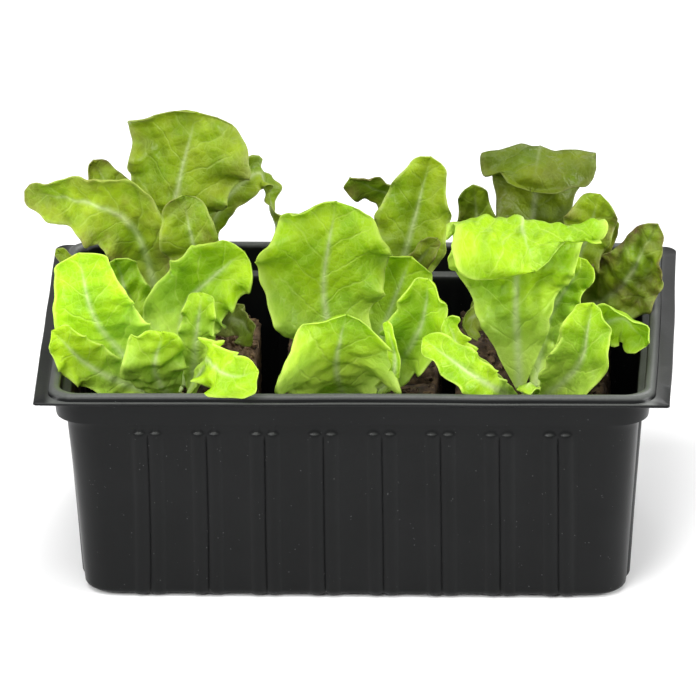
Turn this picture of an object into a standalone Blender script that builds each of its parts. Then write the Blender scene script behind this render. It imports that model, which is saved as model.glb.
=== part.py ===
"""Ribbed nursery tray with six pressed soil plugs, each growing one young lettuce.

Metres, +Z up. The tray's long side runs along X, its front faces -Y, and the origin is the
middle of the flat underside that the tray stands on. Each plug, its crown and its leaves
lift straight up out of the tray together.
"""

import math
from collections import namedtuple

import bmesh
import bpy
from mathutils import Vector

MM = 0.001

# Overall sizes of the tray
WING_SPAN = 0.1550
TRAY_DEPTH = 0.1040
TRAY_HEIGHT = 0.0565

# Moulded sheet and rim
SHEET = 0.0008
RIM_BEAD_WIDTH = 0.0029
RIM_BEAD_HEIGHT = 0.0017
WING_LENGTH = 0.0047
LIP_OVERHANG = 0.0021
FLANGE_FRONT_CORNER = 0.0006
FLANGE_BACK_CORNER = 0.0032

# Stacking collar and drafted wall
COLLAR_HEIGHT = 0.0066
COLLAR_CORNER = 0.0068
COLLAR_DRAFT = 0.0004
STACKING_LEDGE = 0.0023
WALL_DRAFT = 0.0038
WALL_CORNER = 0.0085
FOOT_FILLET = 0.0022
CORNER_STEPS = 5

# Vertical ribs, which come in pairs and run on under the base edge
RIB_PITCH = 0.0143
RIB_HALF_PAIR = 0.0040
RIB_PROUD = 0.0008
RIB_TOP_GAP = 0.0030
RIB_TOP_TAPER = 0.0030
BASE_RELIEF = 0.0007
RIB_FOOT_RUN = 0.0060
# Across a pair: share of the half pair, and share of the rib's full height there
RIB_SECTION = ((-1.0, 0.0), (-0.74, 1.0), (-0.26, 1.0), (0.0, 0.15), (0.26, 1.0), (0.74, 1.0), (1.0, 0.0))

# Drainage hole under each plug
DRAIN_DIAMETER = 0.0060
DRAIN_SIDES = 16

# Soil plugs: three columns by two rows, which fill the floor but for these clearances
RIM_ABOVE_PLUGS = 0.0147
COLUMN_GAPS = (0.0070, 0.0040)
ROW_GAP = 0.0040
LEFT_END_CLEARANCE = 0.0022
RIGHT_END_CLEARANCE = 0.0042
FRONT_AND_BACK_CLEARANCE = 0.0028
PLUG_EDGE = 0.0016
FIT_GAP = 0.0003

# Crown of each lettuce and the ring that its leaves start from
CROWN_HEIGHT = 0.0045
CROWN_BASE_RADIUS = 0.0024
CROWN_TOP_RADIUS = 0.0014
CROWN_SIDES = 10
LEAF_RING_RADIUS = 0.0042
LEAF_RING_HEIGHT = 0.0030
STALK_HALF_WIDTH = 0.0008
LEAF_THICKNESS = 0.0008
LEAF_ROWS = 7
LEAF_COLUMNS = 4
LEAF_CUP = 0.22

TOWARDS_FRONT = (0.0, -1.0, 0.3)

Leaf = namedtuple("Leaf", "name top bow width broadest blunt flap facing",
                  defaults=(0.6, 0.5, None, TOWARDS_FRONT))

# Each leaf, in millimetres from the middle of its plug's top: where the blade's top is, how far
# the middle of the midrib bows off the straight line there, the blade's full width, how far up
# it is broadest, the share of that width left at its end, how far a folded end hangs beyond the
# top, and the way the upper side faces.
PLANTS = {
    "front_left": (
        Leaf("tall", (-23, -3, 41), (-5, -3, 1), 19, 0.5, 0.45),
        Leaf("low", (-29, -14, 25), (-3, -1, -1), 10, 0.55, 0.6),
        Leaf("spoon", (-2, -16, 26), (-3, -4, 0), 14, 0.6, 0.7, None, (0, -1, -0.2)),
        Leaf("drape", (9, -18, 19), (2, 0, 4), 10, 0.6, 0.8, (13, -14, 3), (-0.1, -0.6, 1)),
        Leaf("serrated", (17, 11, 36), (-7, 3, 2), 18, 0.6, 0.4),
        Leaf("frill", (7, -1, 30), (0, -1, 2), 8, 0.6, 0.6),
        Leaf("puckered", (-15, 16, 32), (-2, 4, 0), 11, 0.6, 0.7),
    ),
    "back_left": (
        Leaf("boat", (-38, -9, 43), (8, -3, 12), 15, 0.6, 0.3),
        Leaf("lobe", (1, -9, 42), (3, -5, 0), 13, 0.65, 0.5),
        Leaf("dark", (-22, 12, 43), (0, 5, 0), 11, 0.7, 0.3, None, (0.2, -1, 0.2)),
        Leaf("flared", (4, 9, 57), (-4, 1, 0), 26, 0.9, 0.9),
        Leaf("arched", (17, 20, 36), (-3, 3, 6), 8, 0.6, 0.8, (6, 3, -17), (0, -1, 0.5)),
        Leaf("olive", (-30, -17, 31), (-4, -5, 2), 4, 0.6, 0.5),
        Leaf("withered", (18, -17, 8), (2, 2, 3), 9, 0.6, 0.6, None, (0, -1, 0.6)),
    ),
    "front_centre": (
        Leaf("broad", (-5, 4, 52), (-4, 2, 0), 32, 0.6, 0.6),
        Leaf("spoon", (-2, -15, 30), (-2, -6, 0), 24, 0.55, 0.6),
        Leaf("upright", (13, 13, 34), (0, 4, 0), 15, 0.7, 0.65),
        Leaf("curl", (8, -19, 30), (5, -8, 0), 3, 0.5, 0.8, None, (0, -1, 0.3)),
        Leaf("fold", (18, -11, 38), (4, -3, 2), 12, 0.55, 0.6),
    ),
    "front_right": (
        Leaf("fan", (-2, 4, 47), (-1, 2, 0), 37, 0.75, 0.8, (4, -10, -9), (0, -1, 0.3)),
        Leaf("strip", (14, 14, 33), (-3, 4, 0), 9, 0.6, 0.7),
        Leaf("upright", (16, -9, 31), (3, -5, -1), 13, 0.5, 0.35),
        Leaf("spoon", (21, -4, 24), (-2, -1, 4), 10, 0.7, 0.8, (8, -3, -5), (0, -1, 0.5)),
        Leaf("small", (-1, -20, 12), (1, -2, 3), 4, 0.6, 0.7, None, (0, -1, 0.6)),
        Leaf("ribbon", (-20, -20, 31), (-3, -2, 0), 6, 0.6, 0.8, None, (0, -1, 0.6)),
        Leaf("lower", (-25, -25, 28), (2, -9, 1), 8, 0.6, 0.7, None, (0, -1, 0.5)),
    ),
    "back_centre": (
        Leaf("oval", (-3, -2, 44), (11, 4, 8), 8, 0.75, 0.7),
        Leaf("cone", (17, 0, 49), (0, -4, -1), 18, 0.6, 0.5),
        Leaf("dark", (19, -14, 33), (2, -4, 3), 6, 0.6, 0.5),
    ),
    "back_right": (
        Leaf("cap", (2, 4, 49), (-1, 5, 0), 25, 0.7, 0.8, (-2, -12, -6), (0, -1, 0.3)),
        Leaf("fold", (17, -12, 44), (3, -2, 4), 11, 0.6, 0.6),
        Leaf("bronze", (20, 10, 29), (3, 5, 0), 5, 0.6, 0.5),
        Leaf("purple", (31, -12, 36), (5, -4, 0), 15, 0.55, 0.2),
        Leaf("olive", (-15, 12, 37), (-3, 4, 0), 8, 0.6, 0.7),
        Leaf("withered", (-17, -17, 11), (-2, 2, 4), 9, 0.65, 0.6, None, (0, -1, 0.6)),
    ),
}
# The plants' pitches and the rim's height over the plugs that the leaf sizes above suit. In a
# tray of another size the plants spread as far as their plugs and the rim leave room for.
PLANT_PITCHES = (45.0, 42.0)
PLANT_ROW_PITCH = 42.0
PLANT_RIM_HEIGHT = 14.7
FLAP_SHOULDER = 0.85

# Heights and half sizes that follow from the values above
FLANGE_TOP = TRAY_HEIGHT - RIM_BEAD_HEIGHT
LEDGE_HEIGHT = FLANGE_TOP - COLLAR_HEIGHT
WING_HALF = (WING_SPAN / 2, TRAY_DEPTH / 2)
COLLAR_HALF = (WING_HALF[0] - WING_LENGTH, WING_HALF[1] - LIP_OVERHANG)
WALL_TOP_HALF = tuple(half - COLLAR_DRAFT - STACKING_LEDGE for half in COLLAR_HALF)
WALL_FOOT_HALF = tuple(half - WALL_DRAFT for half in WALL_TOP_HALF)

Ring = namedtuple("Ring", "corners sides")


def wall_half(z):
    """Half sizes of the drafted outer wall at a height."""
    share = z / LEDGE_HEIGHT
    return tuple(foot + (top - foot) * share for foot, top in zip(WALL_FOOT_HALF, WALL_TOP_HALF))


def rib_pairs(half):
    """How many pairs of ribs fit along a wall of this half length, clear of its corners."""
    room = 2 * (half - RIB_FOOT_RUN - WALL_CORNER / 2 - RIB_HALF_PAIR)
    return int(room / RIB_PITCH) + 1


LONG_PAIRS, SHORT_PAIRS = (rib_pairs(half) for half in WALL_FOOT_HALF)
SIDES = (((0, -1), LONG_PAIRS), ((1, 0), SHORT_PAIRS), ((0, 1), LONG_PAIRS), ((-1, 0), SHORT_PAIRS))

# The plugs share out the floor
FLOOR_HEIGHT = SHEET + BASE_RELIEF
FLOOR_HALF = tuple(half - SHEET for half in wall_half(FOOT_FILLET))
PLUG_LENGTH = (2 * FLOOR_HALF[0] - LEFT_END_CLEARANCE - RIGHT_END_CLEARANCE - sum(COLUMN_GAPS)) / 3
PLUG_DEPTH = FLOOR_HALF[1] - FRONT_AND_BACK_CLEARANCE - ROW_GAP / 2
PLUG_BOTTOM = FLOOR_HEIGHT + FIT_GAP
PLUG_TOP = TRAY_HEIGHT - RIM_ABOVE_PLUGS
LEFT_COLUMN = -FLOOR_HALF[0] + LEFT_END_CLEARANCE + PLUG_LENGTH / 2
CENTRE_COLUMN = LEFT_COLUMN + PLUG_LENGTH + COLUMN_GAPS[0]
RIGHT_COLUMN = CENTRE_COLUMN + PLUG_LENGTH + COLUMN_GAPS[1]
BACK_ROW = (ROW_GAP + PLUG_DEPTH) / 2
PLUG_COLUMNS = {"left": LEFT_COLUMN, "centre": CENTRE_COLUMN, "right": RIGHT_COLUMN}
PLUG_ROWS = {"front": -BACK_ROW, "back": BACK_ROW}


def plant_spread():
    """How far the plants spread along X, Y and Z, as a share of the leaf sizes."""
    columns = (LEFT_COLUMN, CENTRE_COLUMN, RIGHT_COLUMN)
    pitches = [(b - a) / MM for a, b in zip(columns, columns[1:])]
    along = min(pitch / full for pitch, full in zip(pitches, PLANT_PITCHES))
    deep = 2 * BACK_ROW / MM / PLANT_ROW_PITCH
    return Vector((along, deep, RIM_ABOVE_PLUGS / MM / PLANT_RIM_HEIGHT))


def clear_scene():
    for obj in list(bpy.data.objects):
        bpy.data.objects.remove(obj, do_unlink=True)


def material(name, colour, roughness, metallic=0.0):
    made = bpy.data.materials.new(name)
    made.use_nodes = True
    shader = made.node_tree.nodes["Principled BSDF"]
    shader.inputs["Base Color"].default_value = (*colour, 1.0)
    shader.inputs["Roughness"].default_value = roughness
    shader.inputs["Metallic"].default_value = metallic
    return made


def object_from(bm, name, surface, smooth_angle=35):
    bmesh.ops.recalc_face_normals(bm, faces=bm.faces)
    if bm.calc_volume(signed=True) < 0:
        bmesh.ops.reverse_faces(bm, faces=bm.faces)
    mesh = bpy.data.meshes.new(name)
    bm.to_mesh(mesh)
    bm.free()
    mesh.shade_smooth()
    mesh.set_sharp_from_angle(angle=math.radians(smooth_angle))
    mesh.materials.append(surface)
    obj = bpy.data.objects.new(name, mesh)
    bpy.context.scene.collection.objects.link(obj)
    return obj


# ---------------------------------------------------------------- tray


def rib_points(pairs):
    """Distances along a wall and rib heights (0 to 1) of every rib point on it."""
    for index in range(pairs):
        centre = (index - (pairs - 1) / 2) * RIB_PITCH
        for across, height in RIB_SECTION:
            yield centre + across * RIB_HALF_PAIR, height


def ring(bm, half, z, radius, proud=0.0, lift=0.0, ribbed=False):
    """One closed loop round the tray: four rounded corners and four straight sides.

    radius is one value, or one for the front corners and one for the back. On a ribbed
    loop the ribs stand proud outwards, and the wall between them is lifted.
    """
    front, back = radius if isinstance(radius, tuple) else (radius, radius)
    half_x, half_y = half
    corners = []
    for quarter, (sx, sy, r) in enumerate(((1, -1, front), (1, 1, back), (-1, 1, back), (-1, -1, front))):
        start = math.radians(-90 + 90 * quarter)
        arc = []
        for step in range(CORNER_STEPS + 1):
            angle = start + math.radians(90) * step / CORNER_STEPS
            x = sx * (half_x - r) + r * math.cos(angle)
            y = sy * (half_y - r) + r * math.sin(angle)
            arc.append(bm.verts.new((x, y, z + lift)))
        corners.append(arc)
    sides = []
    for (nx, ny), pairs in SIDES:
        line = []
        for along, height in rib_points(pairs) if ribbed else ():
            x = nx * (half_x + height * proud) - ny * along
            y = ny * (half_y + height * proud) + nx * along
            line.append(bm.verts.new((x, y, z + lift * (1 - height))))
        sides.append(line)
    return Ring(corners, sides)


def side_line(loop, side):
    """The points of one straight side, with the corner points at its two ends."""
    return [loop.corners[side - 1][-1], *loop.sides[side], loop.corners[side][0]]


def bridge(bm, low, high):
    """Joins two loops. A side whose point counts differ becomes one flat face."""
    for near, far in zip(low.corners, high.corners):
        for step in range(CORNER_STEPS):
            bm.faces.new((near[step], near[step + 1], far[step + 1], far[step]))
    for side in range(4):
        near = side_line(low, side)
        far = side_line(high, side)
        if len(near) == len(far):
            for step in range(len(near) - 1):
                bm.faces.new((near[step], near[step + 1], far[step + 1], far[step]))
        else:
            bm.faces.new(near + far[::-1])


def cap(bm, loop):
    """Closes a loop with one flat face."""
    points = []
    for side in range(4):
        points += side_line(loop, side)[:-1]
        points += loop.corners[side][:-1]
    bm.faces.new(points)


def grown(half, change):
    return tuple(value + change for value in half)


def outer_rings(bm):
    """From the flat base out and up to the flange: the surface that the ribs stand on."""
    rib_end = LEDGE_HEIGHT - RIB_TOP_GAP
    rib_full = rib_end - RIB_TOP_TAPER
    foot = wall_half(FOOT_FILLET)
    half_fillet = FOOT_FILLET * (1 - math.sin(math.radians(45)))
    yield ring(bm, grown(foot, -RIB_FOOT_RUN), 0, WALL_CORNER / 2, ribbed=True)
    yield ring(bm, grown(foot, -FOOT_FILLET), 0, WALL_CORNER * 0.75, lift=BASE_RELIEF, ribbed=True)
    yield ring(bm, grown(foot, -half_fillet), half_fillet, WALL_CORNER,
               proud=RIB_PROUD / 2, lift=BASE_RELIEF / 2, ribbed=True)
    yield ring(bm, foot, FOOT_FILLET, WALL_CORNER, proud=RIB_PROUD, ribbed=True)
    yield ring(bm, wall_half(rib_full), rib_full, WALL_CORNER, proud=RIB_PROUD, ribbed=True)
    yield ring(bm, wall_half(rib_end), rib_end, WALL_CORNER, ribbed=True)
    yield ring(bm, WALL_TOP_HALF, LEDGE_HEIGHT, WALL_CORNER)
    yield ring(bm, grown(COLLAR_HALF, -COLLAR_DRAFT), LEDGE_HEIGHT + SHEET / 4, COLLAR_CORNER)
    yield ring(bm, COLLAR_HALF, FLANGE_TOP - SHEET, COLLAR_CORNER)


def rim_rings(bm):
    """The flange with its two wings, then over the rounded bead to the collar's inside."""
    corners = (FLANGE_FRONT_CORNER, FLANGE_BACK_CORNER)
    yield ring(bm, WING_HALF, FLANGE_TOP - SHEET, corners)
    yield ring(bm, WING_HALF, FLANGE_TOP, corners)
    inner = grown(COLLAR_HALF, -SHEET)
    for degrees in (180, 140, 90, 40):
        angle = math.radians(degrees)
        outwards = RIM_BEAD_WIDTH / 2 * (1 - math.cos(angle)) - SHEET
        height = FLANGE_TOP + RIM_BEAD_HEIGHT * math.sin(angle)
        yield ring(bm, grown(inner, outwards), height, COLLAR_CORNER - SHEET)


def inner_rings(bm):
    """Down the inside: the collar, the ledge that plugs drop past, the wall and the floor."""
    collar = grown(COLLAR_HALF, -COLLAR_DRAFT - SHEET)
    yield ring(bm, grown(COLLAR_HALF, -2 * SHEET), FLANGE_TOP, COLLAR_CORNER - SHEET)
    yield ring(bm, grown(collar, -SHEET / 2), LEDGE_HEIGHT + SHEET, COLLAR_CORNER - SHEET)
    yield ring(bm, grown(WALL_TOP_HALF, -SHEET), LEDGE_HEIGHT + SHEET * 0.75, WALL_CORNER - SHEET)
    yield ring(bm, FLOOR_HALF, FLOOR_HEIGHT + FOOT_FILLET / 2, WALL_CORNER - SHEET)
    yield ring(bm, grown(FLOOR_HALF, -FOOT_FILLET / 2), FLOOR_HEIGHT, WALL_CORNER * 0.75)


def drain_cutter(column, row):
    bm = bmesh.new()
    bmesh.ops.create_cone(bm, cap_ends=True, segments=DRAIN_SIDES, radius1=DRAIN_DIAMETER / 2,
                          radius2=DRAIN_DIAMETER / 2, depth=8 * SHEET)
    cutter = object_from(bm, f"drain_cutter_{row}_{column}", material("cutter", (1, 0, 0), 0.5))
    cutter.location = (PLUG_COLUMNS[column], PLUG_ROWS[row], 0)
    cutter.hide_render = True
    cutter.display_type = "WIRE"
    return cutter


def make_tray():
    bm = bmesh.new()
    rings = [*outer_rings(bm), *rim_rings(bm), *inner_rings(bm)]
    for low, high in zip(rings, rings[1:]):
        bridge(bm, low, high)
    cap(bm, rings[0])
    cap(bm, rings[-1])
    tray = object_from(bm, "tray", material("black_moulded_plastic", (0.028, 0.030, 0.032), 0.42))
    for column in PLUG_COLUMNS:
        for row in PLUG_ROWS:
            cut = tray.modifiers.new(f"drain_{row}_{column}", "BOOLEAN")
            cut.operation = "DIFFERENCE"
            cut.object = drain_cutter(column, row)
    return tray


# ---------------------------------------------------------------- plugs and crowns


def make_plug(place, x, y, surface):
    bm = bmesh.new()
    bmesh.ops.create_cube(bm, size=1)
    bmesh.ops.scale(bm, vec=(PLUG_LENGTH, PLUG_DEPTH, PLUG_TOP - PLUG_BOTTOM), verts=bm.verts)
    plug = object_from(bm, f"soil_plug_{place}", surface)
    plug.location = (x, y, (PLUG_BOTTOM + PLUG_TOP) / 2)
    edges = plug.modifiers.new("worn_edges", "BEVEL")
    edges.width = PLUG_EDGE
    edges.segments = 2
    return plug


def make_crown(place, root, spread, surface):
    """root is the middle of the plug's top."""
    bm = bmesh.new()
    bmesh.ops.create_cone(bm, cap_ends=True, segments=CROWN_SIDES, radius1=CROWN_BASE_RADIUS,
                          radius2=CROWN_TOP_RADIUS, depth=CROWN_HEIGHT)
    bmesh.ops.translate(bm, vec=(0, 0, CROWN_HEIGHT / 2), verts=bm.verts)
    bmesh.ops.scale(bm, vec=spread, verts=bm.verts)
    crown = object_from(bm, f"crown_{place}", surface)
    crown.location = root + Vector((0, 0, FIT_GAP))
    return crown


# ---------------------------------------------------------------- leaves


def through(points, share):
    """The point at a share (0 to 1) of a smooth curve through the points."""
    place = share * (len(points) - 1)
    index = min(int(place), len(points) - 2)
    t = place - index
    here, after = points[index], points[index + 1]
    before = points[index - 1] if index else here * 2 - after
    beyond = points[index + 2] if index + 2 < len(points) else after * 2 - here
    return 0.5 * (2 * here + (after - before) * t
                  + (2 * before - 5 * here + 4 * after - beyond) * t * t
                  + (3 * here - before - 3 * after + beyond) * t ** 3)


def midrib(leaf, base):
    """The points of the midrib: crown, bowed middle, top, and the folded end if there is one."""
    top = Vector(leaf.top) * MM
    points = [base, (base + top) / 2 + Vector(leaf.bow) * MM, top]
    if leaf.flap:
        hang = Vector(leaf.flap) * MM
        points += [top + Vector((hang.x / 2, hang.y * FLAP_SHOULDER, hang.z / 4)), top + hang]
    return points


def half_width(leaf, share):
    """Grows from the stalk to the broadest place, then narrows to the blunt end."""
    if share < leaf.broadest:
        rise = math.sin(math.pi / 2 * share / leaf.broadest)
        return STALK_HALF_WIDTH + (leaf.width * MM / 2 - STALK_HALF_WIDTH) * rise
    fall = (share - leaf.broadest) / (1 - leaf.broadest)
    return leaf.width * MM / 2 * (1 - (1 - leaf.blunt) * fall ** 2)


def leaf_sections(angle, leaf):
    """Midrib point, sideways direction, upper-side direction and half width of each row.

    The points are measured from the middle of the plug's top.
    """
    base = Vector((math.cos(angle), math.sin(angle), 0)) * LEAF_RING_RADIUS
    base.z = LEAF_RING_HEIGHT
    spine = midrib(leaf, base)
    side = None
    for row in range(LEAF_ROWS + 1):
        share = row / LEAF_ROWS
        ahead = through(spine, min(share + 0.02, 1)) - through(spine, max(share - 0.02, 0))
        ahead.normalize()
        side = side - ahead * side.dot(ahead) if row else ahead.cross(Vector(leaf.facing))
        side.normalize()
        upper = side.cross(ahead).normalized()
        yield through(spine, share), side.copy(), upper, half_width(leaf, share)


def make_leaf(place, leaf, angle, root, spread, surface):
    """A thin closed blade, cupped along its midrib, that starts at this angle round the crown."""
    bm = bmesh.new()
    skins = []
    for offset in (-LEAF_THICKNESS / 2, LEAF_THICKNESS / 2):
        grid = []
        for centre, side, upper, width in leaf_sections(angle, leaf):
            line = []
            for column in range(LEAF_COLUMNS + 1):
                across = 2 * column / LEAF_COLUMNS - 1
                rise = LEAF_CUP * width * across ** 2 + offset
                point = centre + side * width * across + upper * rise
                line.append(bm.verts.new(root + point * spread))
            grid.append(line)
        skins.append(grid)
    for grid in skins:
        for near, far in zip(grid, grid[1:]):
            for column in range(LEAF_COLUMNS):
                bm.faces.new((near[column], near[column + 1], far[column + 1], far[column]))
    under, over = [[row[0] for row in grid] + grid[-1][1:-1] + [row[-1] for row in grid[::-1]]
                   + grid[0][-2:0:-1] for grid in skins]
    for index, point in enumerate(under):
        following = (index + 1) % len(under)
        bm.faces.new((point, under[following], over[following], over[index]))
    return object_from(bm, f"leaf_{place}_{leaf.name}", surface, 60)


def starting_angles(leaves):
    """Starts the leaves evenly round the crown, in the order of the ways they grow."""
    angles = [math.atan2(leaf.top[1] / 2 + leaf.bow[1], leaf.top[0] / 2 + leaf.bow[0]) for leaf in leaves]
    order = sorted(range(len(leaves)), key=angles.__getitem__)
    step = 2 * math.pi / len(leaves)
    turn = sum(angles[which] - place * step for place, which in enumerate(order)) / len(leaves)
    return {leaves[which].name: turn + place * step for place, which in enumerate(order)}


def make_plant(place, root, leaf_surface, crown_surface):
    spread = plant_spread()
    make_crown(place, root, spread, crown_surface)
    leaves = PLANTS[place]
    angles = starting_angles(leaves)
    for leaf in leaves:
        make_leaf(place, leaf, angles[leaf.name], root, spread, leaf_surface)


def main():
    clear_scene()
    make_tray()
    soil = material("pressed_soil", (0.045, 0.028, 0.017), 0.95)
    crown_surface = material("lettuce_crown", (0.55, 0.62, 0.30), 0.55)
    leaf_surfaces = {
        "front": material("green_lettuce_leaf", (0.33, 0.55, 0.03), 0.45),
        "back": material("bronze_lettuce_leaf", (0.22, 0.30, 0.04), 0.48),
    }
    for row, y in PLUG_ROWS.items():
        for column, x in PLUG_COLUMNS.items():
            place = f"{row}_{column}"
            make_plug(place, x, y, soil)
            make_plant(place, Vector((x, y, PLUG_TOP)), leaf_surfaces[row], crown_surface)


main()
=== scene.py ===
"""Looks for the ribbed nursery tray and its six young lettuces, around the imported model.

Lengths are in metres unless a name says MM; leaf and plant points are in millimetres.
"""

import math

import bmesh
import bpy
import numpy as np
from mathutils import Matrix, Vector
from mathutils.geometry import delaunay_2d_cdt


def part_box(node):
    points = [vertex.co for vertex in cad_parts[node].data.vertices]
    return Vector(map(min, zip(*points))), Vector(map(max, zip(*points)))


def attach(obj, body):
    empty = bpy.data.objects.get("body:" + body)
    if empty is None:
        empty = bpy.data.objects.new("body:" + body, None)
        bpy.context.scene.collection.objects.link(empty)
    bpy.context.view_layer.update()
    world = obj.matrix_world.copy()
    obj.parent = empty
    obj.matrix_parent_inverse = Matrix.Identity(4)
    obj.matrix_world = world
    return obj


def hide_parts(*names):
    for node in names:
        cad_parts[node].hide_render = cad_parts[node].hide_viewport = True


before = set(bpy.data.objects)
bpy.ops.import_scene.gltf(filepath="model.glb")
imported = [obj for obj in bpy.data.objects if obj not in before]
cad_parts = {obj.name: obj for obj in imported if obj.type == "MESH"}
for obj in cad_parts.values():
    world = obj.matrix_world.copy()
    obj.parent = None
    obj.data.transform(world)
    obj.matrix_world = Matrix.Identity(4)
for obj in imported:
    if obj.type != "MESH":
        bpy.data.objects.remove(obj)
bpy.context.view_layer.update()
MM = 0.001

# ---------------------------------------------------------------- shared helpers


def waves(points, seed, wavelength, count=12):
    """Smooth noise of about unit size at each point: a sum of plane waves."""
    rng = np.random.default_rng(seed)
    ways = rng.normal(size=(count, 3))
    ways /= np.linalg.norm(ways, axis=1, keepdims=True)
    ways *= (2 * np.pi / wavelength * rng.uniform(0.6, 1.7, count))[:, None]
    phases = rng.uniform(0, 2 * np.pi, count)
    return np.sin(points @ ways.T + phases).sum(axis=-1) / math.sqrt(count / 2)


def smooth(low, high, value):
    t = np.clip((value - low) / (high - low), 0, 1)
    return t * t * (3 - 2 * t)


def catmull(points, shares):
    """Smooth curve through the points, at shares from 0 to 1."""
    points = np.asarray(points, float)
    full = np.vstack([2 * points[:1] - points[1:2], points, 2 * points[-1:] - points[-2:-1]])
    place = np.asarray(shares) * (len(points) - 1)
    index = np.minimum(place.astype(int), len(points) - 2)
    t = (place - index)[:, None]
    a, b, c, d = (full[index + k] for k in range(4))
    return 0.5 * (2 * b + (c - a) * t + (2 * a - 5 * b + 4 * c - d) * t**2 + (3 * b - a - 3 * c + d) * t**3)


def mesh_object(name, points, faces, surface, sharp=None):
    mesh = bpy.data.meshes.new(name)
    mesh.from_pydata(points.tolist() if isinstance(points, np.ndarray) else points, [], faces)
    mesh.validate()
    mesh.update()
    mesh.shade_smooth()
    if sharp:
        mesh.set_sharp_from_angle(angle=math.radians(sharp))
    mesh.materials.append(surface)
    obj = bpy.data.objects.new(name, mesh)
    bpy.context.scene.collection.objects.link(obj)
    return obj


def add_values(obj, name, values):
    layer = obj.data.attributes.new(name, "FLOAT", "POINT")
    layer.data.foreach_set("value", np.asarray(values, np.float32))


class Nodes:
    """Short calls for building one material."""

    def __init__(self, name):
        self.material = bpy.data.materials.new(name)
        self.material.use_nodes = True
        self.tree = self.material.node_tree
        self.shader = self.tree.nodes["Principled BSDF"]
        self.output = self.tree.nodes["Material Output"]

    def add(self, kind, inputs=(), **settings):
        node = self.tree.nodes.new(kind)
        for key, value in settings.items():
            setattr(node, key, value)
        for key, value in dict(inputs).items():
            self.feed(node.inputs[key], value)
        return node

    def feed(self, socket, value):
        if isinstance(value, bpy.types.NodeSocket):
            self.tree.links.new(value, socket)
        else:
            socket.default_value = value

    def math(self, operation, a, b=0.0, c=0.0, clamp=False):
        node = self.add("ShaderNodeMath", {0: a, 1: b, 2: c}, operation=operation, use_clamp=clamp)
        return node.outputs[0]

    def mix(self, share, a, b, blend="MIX"):
        node = self.add("ShaderNodeMix", {0: share, 6: a, 7: b}, data_type="RGBA", blend_type=blend)
        return node.outputs[2]

    def ramp(self, value, stops):
        node = self.add("ShaderNodeValToRGB", {0: value})
        elements = node.color_ramp.elements
        while len(elements) < len(stops):
            elements.new(0.5)
        for element, (place, colour) in zip(elements, stops):
            element.position = place
            element.color = colour if len(colour) == 4 else (*colour, 1)
        return node.outputs[0]

    def step(self, value, low, high, to_low=0.0, to_high=1.0):
        node = self.add("ShaderNodeMapRange", {0: value, 1: low, 2: high, 3: to_low, 4: to_high},
                        interpolation_type="SMOOTHSTEP")
        return node.outputs[0]

    def noise(self, where, scale, detail=3.0, rough=0.55):
        return self.add("ShaderNodeTexNoise", {"Vector": where, "Scale": scale, "Detail": detail,
                                               "Roughness": rough}).outputs[0]

    def value(self, name):
        return self.add("ShaderNodeAttribute", attribute_name=name).outputs["Fac"]

    def place(self):
        return self.add("ShaderNodeTexCoord").outputs["Object"]

    def bump(self, height, distance, strength=1.0, after=None):
        inputs = {"Height": height, "Distance": distance, "Strength": strength}
        if after is not None:
            inputs["Normal"] = after
        return self.add("ShaderNodeBump", inputs).outputs[0]


# ---------------------------------------------------------------- materials


def tray_material():
    """Satin black moulded plastic with dust specks, fine scuffs, a slightly uneven gloss, and a pale haze on
    upward faces that is partly dust and partly painted top light.
    """
    n = Nodes("black_moulded_plastic")
    where = n.place()
    cloud = n.noise(where, 45, 4)
    base = n.mix(n.step(cloud, 0.3, 0.75), (0.0026, 0.0029, 0.0030, 1), (0.0040, 0.0043, 0.0045, 1))
    normal = n.add("ShaderNodeNewGeometry").outputs["Normal"]
    facing_up = n.add("ShaderNodeSeparateXYZ", {0: normal}).outputs[2]
    specks = n.add("ShaderNodeTexVoronoi", {"Vector": where, "Scale": 1100.0}, feature="F1")
    chance = n.math("GREATER_THAN", n.noise(where, 500, 2), 0.63)
    near = n.math("LESS_THAN", specks.outputs["Distance"], 0.16)
    dots = n.math("MULTIPLY", n.math("MULTIPLY", near, chance), 0.16)
    # Painted top light and dust: upward faces get a pale haze, much less on the wings.
    side_place = n.math("ABSOLUTE", n.add("ShaderNodeSeparateXYZ", {0: where}).outputs[0])
    off_wings = n.step(side_place, WING_HALF[0] - WING_LENGTH, WING_HALF[0] - WING_LENGTH / 2, 1.0, 0.12)
    upward_dust_and_light = n.math("MULTIPLY", n.step(facing_up, 0.2, 0.95, 0.0, 0.42), off_wings)
    dust_and_top_light = n.math("MULTIPLY", n.step(n.noise(where, 1500, 3, 0.6), -0.8, 0.75), upward_dust_and_light)
    dusty_and_lit = n.mix(dust_and_top_light, base, (0.20, 0.21, 0.195, 1))
    n.feed(n.shader.inputs["Base Color"], n.mix(dots, dusty_and_lit, (0.30, 0.31, 0.31, 1)))
    rough = n.math("ADD", n.step(cloud, 0.25, 0.8, 0.30, 0.38), n.math("MULTIPLY", dots, 0.5))
    n.feed(n.shader.inputs["Roughness"], rough)
    grain = n.noise(where, 1700, 2)
    wavy = n.noise(where, 60, 2)
    n.feed(n.shader.inputs["Normal"], n.bump(grain, 0.00003, 0.5, n.bump(wavy, 0.0005, 0.35)))
    n.shader.inputs["Specular IOR Level"].default_value = 0.15
    return n.material


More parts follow.
